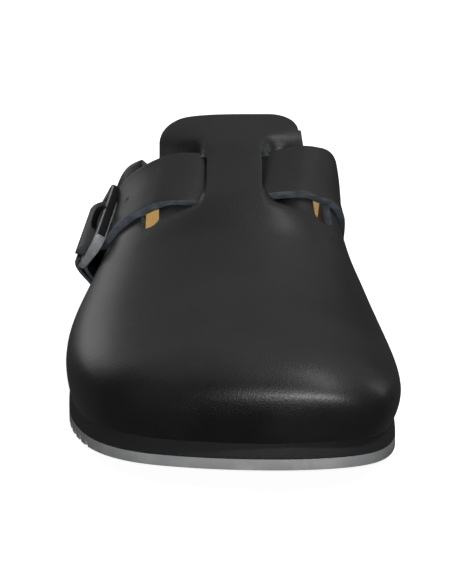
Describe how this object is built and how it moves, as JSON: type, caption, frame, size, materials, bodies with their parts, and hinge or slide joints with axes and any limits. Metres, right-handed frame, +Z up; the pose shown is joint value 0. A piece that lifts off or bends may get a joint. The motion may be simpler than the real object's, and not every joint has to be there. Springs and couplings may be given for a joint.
{
  "type": "chef clog",
  "caption": "Closed-toe leather work clog with an open heel, a raised tongue, one buckled instep strap and a thick cupped sole.",
  "frame": {"origin": "on the floor plane, on the shoe's long axis, half way along the sole", "axes": "+Z up from the tread, +Y towards the heel, -Y towards the toe, +X towards the big-toe side"},
  "size_m": [0.1078, 0.2832, 0.0831],
  "materials": {
    "outsole_rubber": "matt grey rubber",
    "midsole_foam": "fine-grained matt black foam",
    "footbed_suede": "tan suede",
    "upper_leather": "smooth black leather with a low gloss",
    "strap_leather": "smooth black leather, painted edge",
    "buckle_metal": "black satin"
  },
  "bodies": {
    "root": {"outsole": "outsole_rubber", "midsole": "midsole_foam", "footbed": "footbed_suede", "upper": "upper_leather", "strap": "strap_leather", "buckle_tab": "strap_leather", "buckle_frame": "buckle_metal", "buckle_prong": "buckle_metal"}
  },
  "joints": []
}
